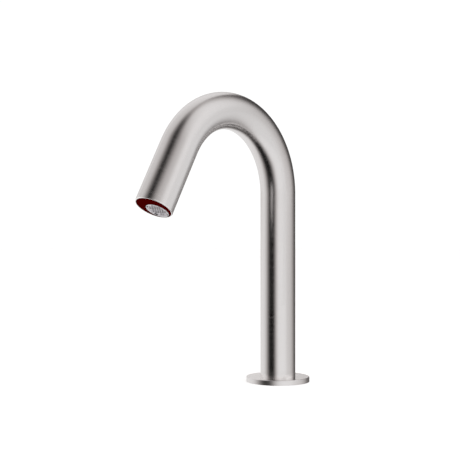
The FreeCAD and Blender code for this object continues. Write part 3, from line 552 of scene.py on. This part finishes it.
def size_tree(name, *sizes):
    """A Geometry Nodes tree with a mesh in, a number for each size, and a mesh out."""
    tree = bpy.data.node_groups.new(name, "GeometryNodeTree")
    for side in ("INPUT", "OUTPUT"):
        tree.interface.new_socket("Geometry", in_out=side, socket_type="NodeSocketGeometry")
    for size in sizes:
        tree.interface.new_socket(size, in_out="INPUT", socket_type="NodeSocketFloat")
    tree.interface.new_socket("Finish", in_out="INPUT", socket_type="NodeSocketMaterial")
    board = Board(tree)
    given = board.node("NodeGroupInput")
    return board, given, [given.beside(size) for size in sizes]


def end_tree(board, given, shape):
    whole = board.node("GeometryNodeRealizeInstances", sockets={0: shape})
    sockets = {"Geometry": whole, "Material": given.beside("Finish")}
    board.node("NodeGroupOutput", sockets={0: board.node("GeometryNodeSetMaterial", sockets=sockets)})
    return board.tree


def shaped(piece, tree, **sizes):
    """Runs the piece through a tree and keeps the plain mesh."""
    modifier = piece.modifiers.new(tree.name, "NODES")
    modifier.node_group = tree
    for item in tree.interface.items_tree:
        key = item.name.replace(" ", "_")
        if item.in_out == "INPUT" and key in sizes:
            modifier[item.identifier] = sizes[key]
    return settled(piece)


def empty_piece(name):
    return piece_of(name, bmesh.new())


def bend_tree():
    """Bends a straight upright piece along the spout's line: column, bend and outlet run."""
    board, given, (rise, radius, angle) = size_tree(
        "bend along the spout", "Rise", "Bend Radius", "Bend Angle"
    )
    x, y, z = board.split(board.node("GeometryNodeInputPosition"))
    turn = board.math("MINIMUM", board.math("MAXIMUM", (z - rise) / radius, 0.0), angle)
    beyond = board.math("MAXIMUM", z - rise - radius * angle, 0.0)
    sine, cosine = board.math("SINE", turn), board.math("COSINE", turn)
    along = y * cosine - beyond * sine - radius * (1.0 - cosine)
    up = board.math("MINIMUM", z, rise) + y * sine + radius * sine + beyond * cosine
    sockets = {"Geometry": given, "Position": board.join(x, along, up)}
    return end_tree(board, given, board.node("GeometryNodeSetPosition", sockets=sockets))


def honeycomb_tree():
    """A round plate of six-sided cells in rows along X, with a plain rim."""
    names = ("Cell", "Bar", "Reach", "Rim", "Thickness")
    board, given, (cell, bar, reach, rim, thick) = size_tree("honeycomb plate", *names)
    # An odd count of rows and of points in a row puts a cell's centre on the axis
    rows = 17
    pitch = cell + bar
    row_gap = pitch * (math.sqrt(3) / 2)
    sockets = {
        "Size X": pitch * (rows + 5),
        "Size Y": row_gap * (rows - 1),
        "Vertices X": rows + 6,
        "Vertices Y": rows,
    }
    grid = board.node("GeometryNodeMeshGrid", sockets=sockets)
    x, y, z = board.split(board.node("GeometryNodeInputPosition"))
    lean = board.join(x + y / math.sqrt(3), y, 0.0)
    leaning = board.node("GeometryNodeSetPosition", sockets={"Geometry": grid, "Position": lean})
    cells = board.node(
        "GeometryNodeDualMesh",
        sockets={0: board.node("GeometryNodeTriangulate", sockets={0: leaning})},
    )
    centre = board.length(x, y)
    # A cell is kept up to a little beyond the rim, and its points from the rim on are drawn onto it
    beyond, nearly = pitch * 0.42, pitch * 0.1
    kept = board.node(
        "GeometryNodeDeleteGeometry", {"domain": "FACE"}, {0: cells, 1: centre > rim + beyond}
    )
    open_cells = board.node(
        "GeometryNodeExtrudeMesh",
        {"mode": "FACES"},
        {"Mesh": kept, "Selection": centre < reach, "Offset Scale": 0.0, "Individual": True},
    )
    top = open_cells.beside("Top")
    shrunk = board.node(
        "GeometryNodeScaleElements",
        {"domain": "FACE"},
        {"Geometry": open_cells, "Selection": top, "Scale": cell / pitch},
    )
    pierced = board.node("GeometryNodeDeleteGeometry", {"domain": "FACE"}, {0: shrunk, 1: top})
    welded = board.node(
        "GeometryNodeMergeByDistance", sockets={"Geometry": pierced, "Distance": 0.01 * MM}
    )
    outward = rim / centre
    sockets = {
        "Geometry": welded,
        "Selection": centre > rim - nearly,
        "Position": board.join(x * outward, y * outward, z),
    }
    plate = board.node("GeometryNodeSetPosition", sockets=sockets)
    raised = board.node(
        "GeometryNodeExtrudeMesh",
        {"mode": "FACES"},
        {"Mesh": plate, "Offset": board.join(0.0, 0.0, thick), "Offset Scale": 1.0, "Individual": False},
    )
    under = board.node("GeometryNodeFlipFaces", sockets={0: plate})
    both = board.node("GeometryNodeJoinGeometry", sockets={0: [raised, under]})
    closed = board.node(
        "GeometryNodeMergeByDistance", sockets={"Geometry": both, "Distance": 0.001 * MM}
    )
    return end_tree(board, given, closed)


def thread_tree():
    """The ridge of a screw thread wound about Z."""
    names = ("Radius", "Pitch", "Length", "Depth")
    board, given, (radius, pitch, length, depth) = size_tree("screw thread", *names)
    sockets = {
        "Resolution": 72,
        "Rotations": length / pitch,
        "Start Radius": radius,
        "End Radius": radius,
        "Height": length,
    }
    line = board.node("GeometryNodeCurveSpiral", sockets=sockets)
    section = board.node("GeometryNodeCurvePrimitiveCircle", sockets={"Resolution": 8, "Radius": depth})
    sockets = {"Curve": line, "Profile Curve": section, "Fill Caps": True}
    return end_tree(board, given, board.node("GeometryNodeCurveToMesh", sockets=sockets))


# The tap's pieces


def add(piece, body, node, slot, finish=None):
    """Gives the piece its finish and its body, in place of the node that it stands for."""
    piece.data.materials.clear()
    piece.data.materials.append(finishes[finish or slot].material)
    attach(piece, body)
    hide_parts(node)


def make_spout():
    """The straight tube with its screw hole, then bent."""
    top = SPOUT_LENGTH
    corners = [(BORE_R, TUBE_FOOT), (TUBE_R, TUBE_FOOT)]
    corners += [(TUBE_R, top, RIM_ROUND), (BORE_R, top, 0.1 * MM)]
    tube = turned("spout", corners, steps=112, row=1.6 * MM)
    hole = prism("screw_hole", 48, 1.5 * MM, 9 * MM, 16 * MM)
    across = Matrix.Translation((0, 0, top - SCREW_DEPTH)) @ Matrix.Rotation(math.pi / 2, 4, "X")
    cut(tube, moved(hole, across))
    shaped(tube, bend_tree(), Rise=COLUMN_RISE, Bend_Radius=BEND_RADIUS, Bend_Angle=BEND_ANGLE)
    add(tube, "tap", "spout_tube", "brushed_tube")


def make_flange():
    """The turned flange, with its groove for the seal and the seat of the tube."""
    seat, thick = TUBE_R + 0.05 * MM, 4 * MM
    groove_inner, groove_outer, groove_depth = 18.8 * MM, 22.2 * MM, 1.8 * MM
    corners = [
        (BORE_R, 0),
        (groove_inner, 0),
        (groove_inner, groove_depth),
        (groove_outer, groove_depth),
        (groove_outer, 0),
        (FLANGE_R, 0, 0.15 * MM),
        (FLANGE_R, thick, 0.4 * MM),
        (seat, thick),
        (seat, TUBE_FOOT),
        (BORE_R, TUBE_FOOT),
    ]
    add(turned("flange", corners, steps=192), "tap", "base_flange", "turned_flange")


def make_deck_seal():
    """The flat ring in the flange's groove."""
    low, high, inner, outer, edge = 0.0, 1.8 * MM, 18.9 * MM, 22.1 * MM, 0.4 * MM
    corners = [(inner, low, edge), (outer, low, edge), (outer, high, edge), (inner, high, edge)]
    add(turned("underside_seal", corners), "tap", "deck_seal", "black_rubber")


def make_window():
    """The dark red disc around the aerator, which the aerator's hole leaves a crescent."""
    radius, low, high, edge = BORE_R - 0.05 * MM, 0.05 * MM, 2.05 * MM, 0.12 * MM
    corners = [(0, low), (radius, low, edge), (radius, high, edge), (0, high)]
    disc = turned("red_window", corners, steps=160)
    hole = prism("aerator_hole", 160, 9.05 * MM, -1 * MM, 4 * MM)
    cut(disc, moved(hole, Matrix.Translation((0, WATER_OFFSET, 0))))
    add(moved(disc, OUTLET), "tap", "sensor_window", "infrared_window")


def make_grub_screw():
    """The socket screw behind the outlet, drawn from its inner end."""
    foot, length, radius = TUBE_R - 4.4 * MM, 4 * MM, 1.45 * MM
    root, end = radius - 0.2 * MM, radius - 0.4 * MM
    corners = [(0, 0), (end, 0), (root, 0.3 * MM)]
    corners += [(root, length - 0.2 * MM), (end, length), (0, length)]
    screw = turned("socket_screw", corners, steps=48)
    cut(screw, prism("key_socket", 6, 0.85 * MM, length - 1.6 * MM, length + 1 * MM))
    ridge = shaped(
        empty_piece("screw_ridge"),
        thread,
        Radius=root,
        Pitch=0.5 * MM,
        Length=length - 0.8 * MM,
        Depth=0.2 * MM,
    )
    joined(screw, moved(ridge, Matrix.Translation((0, 0, 0.4 * MM))))
    place = GRUB_SCREW @ Matrix.Translation((0, 0, foot))
    add(moved(screw, place), "tap", "insert_grub_screw", "steel_screw")


def make_aerator_housing():
    """Head ring with its four key slots, neck and screw thread."""
    neck, root, lip = 7.95 * MM, 7.85 * MM, 6.65 * MM
    head_back, lip_front, lip_back, band = 1.95 * MM, 2.4 * MM, 3.2 * MM, 3.7 * MM
    corners = [
        (AERATOR_BORE_R, AERATOR_FACE, 0.12 * MM),
        (HEAD_R, AERATOR_FACE, 0.2 * MM),
        (HEAD_R, head_back, 0.1 * MM),
        (neck, head_back),
        (neck, band),
        (root, band),
        (root, AERATOR_BACK),
        (AERATOR_BORE_R, AERATOR_BACK),
        (AERATOR_BORE_R, lip_back),
        (lip, lip_back),
        (lip, lip_front),
        (AERATOR_BORE_R, lip_front),
    ]
    housing = turned("aerator_ring", corners, steps=144)
    slots = []
    for quarter in range(4):
        corner = KEY_SLOT_WIDTH / math.sqrt(2)
        slot = prism("key_slot", 4, corner, -0.6 * MM, AERATOR_FACE + KEY_SLOT_DEPTH, math.pi / 4)
        moved(slot, Matrix.Translation((HEAD_R - KEY_SLOT_WALL - KEY_SLOT_WIDTH / 2, 0, 0)))
        turn = AERATOR_TURN + math.radians(45 + 90 * quarter)
        slots.append(moved(slot, Matrix.Rotation(turn, 4, "Z")))
    cut(housing, *slots)
    ridge = shaped(
        empty_piece("aerator_ridge"),
        thread,
        Radius=root,
        Pitch=1 * MM,
        Length=AERATOR_BACK - band - 0.8 * MM,
        Depth=0.33 * MM,
    )
    joined(housing, moved(ridge, Matrix.Translation((0, 0, band + 0.4 * MM))))
    add(moved(housing, AERATOR), "aerator", "aerator_housing", "aerator_metal")


def make_grille():
    """The honeycomb plate in the aerator's mouth."""
    grille = shaped(
        empty_piece("honeycomb_grille"),
        honeycomb_tree(),
        Cell=1.78 * MM,
        Bar=0.39 * MM,
        Reach=5.78 * MM,
        Rim=7.2 * MM,
        Thickness=1.6 * MM,
    )
    turn = Matrix.Rotation(AERATOR_TURN, 4, "Z")
    moved(grille, AERATOR @ Matrix.Translation((0, 0, GRILLE_FACE)) @ turn)
    add(grille, "aerator", "aerator_grille", "white_plastic", "shaded_grille")


def dress_cad_nodes():
    """The finish of each node whose own shape is shown."""
    for part in frame["record"]["subparts"]:
        node = frame["nodes"][part["node"]]
        node.data.materials.clear()
        node.data.materials.append(finishes[part["material_slot"]].material)


# The studio


# The dark gap between the two light walls, which stand at -X and +X. Each row is a bearing round
# the tap's own plane, in degrees up from the front; then for the left and the right wall how far
# its edge stands from the plane, how soft that edge is and how light the wall is; and last how
# dark the gap is.
GAP = (
    (-180, (0.46, 0.15, 0.86), (0.49, 0.47, 0.67), 0.89),  # back
    (-155, (0.52, 0.07, 0.90), (0.36, 0.46, 0.76), 0.86),
    (-130, (0.48, 0.10, 0.94), (0.22, 0.44, 0.86), 0.90),
    (-105, (0.45, 0.12, 0.93), (0.10, 0.27, 0.92), 0.92),
    (-90, (0.46, 0.15, 0.90), (0.10, 0.21, 0.95), 1.00),  # below
    (-45, (0.56, 0.33, 0.90), (0.42, 0.30, 0.96), 1.00),
    (-6, (0.625, 0.37, 0.93), (0.435, 0.285, 0.98), 1.00),  # seen low on the column
    (0, (0.58, 0.36, 0.93), (0.43, 0.28, 0.98), 1.00),  # front
    (12, (0.56, 0.39, 0.90), (0.46, 0.33, 0.93), 1.00),
    (25, (0.53, 0.43, 0.86), (0.50, 0.39, 0.86), 0.72),
    (38, (0.50, 0.48, 0.81), (0.54, 0.45, 0.78), 1.00),
    (45, (0.48, 0.50, 0.80), (0.56, 0.48, 0.74), 1.00),
    (60, (0.34, 0.40, 0.74), (0.44, 0.40, 0.53), 1.00),
    (75, (0.21, 0.22, 0.72), (0.31, 0.20, 0.62), 0.93),
    (90, (0.14, 0.10, 0.75), (0.21, 0.14, 0.80), 0.47),  # above
    (105, (0.10, 0.08, 0.83), (0.15, 0.22, 0.90), 0.54),
    (120, (0.12, 0.08, 0.89), (0.17, 0.32, 0.93), 0.80),
    (135, (0.22, 0.07, 0.84), (0.24, 0.34, 0.93), 0.88),
    (150, (0.47, 0.07, 0.60), (0.36, 0.34, 0.97), 0.95),
    (165, (0.58, 0.08, 0.70), (0.50, 0.36, 0.80), 0.92),
    (180, (0.46, 0.15, 0.86), (0.49, 0.47, 0.67), 0.89),  # back again
)


def make_world():
    """A light room with a dark gap all round between its walls, which the steel mirrors softly."""
    world = bpy.data.worlds.new("soft studio")
    bpy.context.scene.world = world
    world.use_nodes = True
    world.node_tree.nodes.clear()
    board = Board(world.node_tree)
    # The first output is the direction looked in
    x, y, z = board.split(board.node("ShaderNodeTexCoord"))
    bearing = board.math("ARCTAN2", z, 0.0 - y) / (2 * math.pi) + 0.5

    def by_bearing(values):
        stops = [(row[0] / 360 + 0.5, (*values(*row[1:]), 1)) for row in GAP]
        return board.split(board.node("ShaderNodeValToRGB", {"stops": stops}, {"Fac": bearing}))

    near, soft, left_level = by_bearing(lambda left, right, dark: left)
    from_left = board.step(0.0 - x, near - soft, near + soft)
    near, soft, right_level = by_bearing(lambda left, right, dark: right)
    from_right = board.step(x, near - soft, near + soft)
    dark, _, _ = by_bearing(lambda left, right, dark: (dark, dark, dark))
    side = board.step(x, -0.3, 0.3)
    walls = left_level * (1.0 - side) + right_level * side
    level = walls * (1.0 - (1.0 - from_left) * (1.0 - from_right) * dark)
    # The half-lit edges of the walls are a little warmer than the walls
    half = level * (1.0 - level)
    more_red, less_blue = 0.09, 0.03
    tone = board.join(level + half * more_red, level, level - half * less_blue)
    seen = board.node("ShaderNodeLightPath", output="Is Camera Ray")
    room = board.mix(seen, tone, (1, 1, 1, 1))
    light = board.node("ShaderNodeBackground", sockets={"Color": room, "Strength": 1.05})
    board.node("ShaderNodeOutputWorld", sockets={"Surface": light})


def make_floor():
    """A white floor that keeps the tap's soft shadow and is clear when seen from below."""
    mesh = bmesh.new()
    bmesh.ops.create_circle(mesh, cap_ends=True, segments=96, radius=6.0)
    floor = piece_of("floor", mesh)
    material = bpy.data.materials.new("floor white")
    material.use_nodes = True
    material.node_tree.nodes.clear()
    board = Board(material.node_tree)
    paper = board.node("ShaderNodeBsdfDiffuse", sockets={"Color": (0.8, 0.8, 0.8, 1)})
    seen = board.node("ShaderNodeLightPath", output="Is Camera Ray")
    glow = board.node("ShaderNodeEmission", sockets={"Strength": seen * 0.55})
    lit = board.node("ShaderNodeAddShader", sockets={0: paper, 1: glow})
    below = board.node("ShaderNodeNewGeometry", output="Backfacing")
    clear = board.node("ShaderNodeBsdfTransparent")
    whole = board.node("ShaderNodeMixShader", sockets={0: below, 1: lit, 2: clear})
    board.node("ShaderNodeOutputMaterial", sockets={"Surface": whole})
    floor.data.materials.append(material)
    floor.visible_glossy = False


def make_card():
    """A white card to the right of the column that fades out at three of its edges. Only the steel
    in front of it sees it: the outlet and the far half of the bend."""
    low, high, near, far, back = 0.06, 0.32, 0.012, 0.4, -0.012
    near_fade, far_fade, top_fade = 0.052, 0.25, 0.13
    mesh = bmesh.new()
    corners = [(near, back, low), (far, back, low), (far, back, high), (near, back, high)]
    mesh.faces.new([mesh.verts.new(corner) for corner in corners])
    card = piece_of("white_card", mesh)
    material = bpy.data.materials.new("card white")
    material.use_nodes = True
    material.node_tree.nodes.clear()
    board = Board(material.node_tree)
    x, _, z = board.split(board.node("ShaderNodeTexCoord", output="Object"))
    fade = board.math("MINIMUM", (x - near) / near_fade, (far - x) / far_fade)
    fade = board.math("MAXIMUM", board.math("MINIMUM", fade, 1.0), 0.0)
    share = fade * board.math("MINIMUM", (high - z) / top_fade, 1.0)
    glow = board.node("ShaderNodeEmission", sockets={"Strength": 0.9})
    clear = board.node("ShaderNodeBsdfTransparent")
    whole = board.node("ShaderNodeMixShader", sockets={0: share, 1: clear, 2: glow})
    board.node("ShaderNodeOutputMaterial", sockets={"Surface": whole})
    card.data.materials.append(material)
    card.visible_camera = card.visible_diffuse = False
    card.visible_shadow = card.visible_transmission = False


def make_lamp():
    """A wide soft lamp overhead that gives the shadow its place under the tap."""
    lamp = bpy.data.lights.new("overhead", "AREA")
    lamp.shape, lamp.size, lamp.energy = "DISK", 1.6, 6.0
    holder = bpy.data.objects.new("overhead", lamp)
    holder.location = (0.5, -0.4, 1.8)
    aim = Vector((0, 0, 0.1)) - holder.location
    holder.rotation_euler = aim.to_track_quat("-Z", "Y").to_euler()
    holder.visible_glossy = False
    bpy.context.scene.collection.objects.link(holder)


def make_camera():
    """Level with the middle of the column, in front and to the right of the outlet."""
    camera = bpy.data.objects.new("camera", bpy.data.cameras.new("camera"))
    camera.data.sensor_width, camera.data.lens = 36.0, 78.79
    camera.location = (0.50173, -0.63272, 0.12102)
    aim = Vector((-0.65780, 0.75319, 0))
    camera.rotation_euler = aim.to_track_quat("-Z", "Y").to_euler()
    camera.data.clip_start, camera.data.clip_end = 0.01, 20.0
    bpy.context.scene.collection.objects.link(camera)
    bpy.context.scene.camera = camera


finishes = make_finishes()
thread = thread_tree()
dress_cad_nodes()
make_spout()
make_flange()
make_deck_seal()
make_window()
make_grub_screw()
make_aerator_housing()
make_grille()
make_world()
make_floor()
make_card()
make_lamp()
make_camera()
bpy.context.scene.view_settings.view_transform = "Standard"
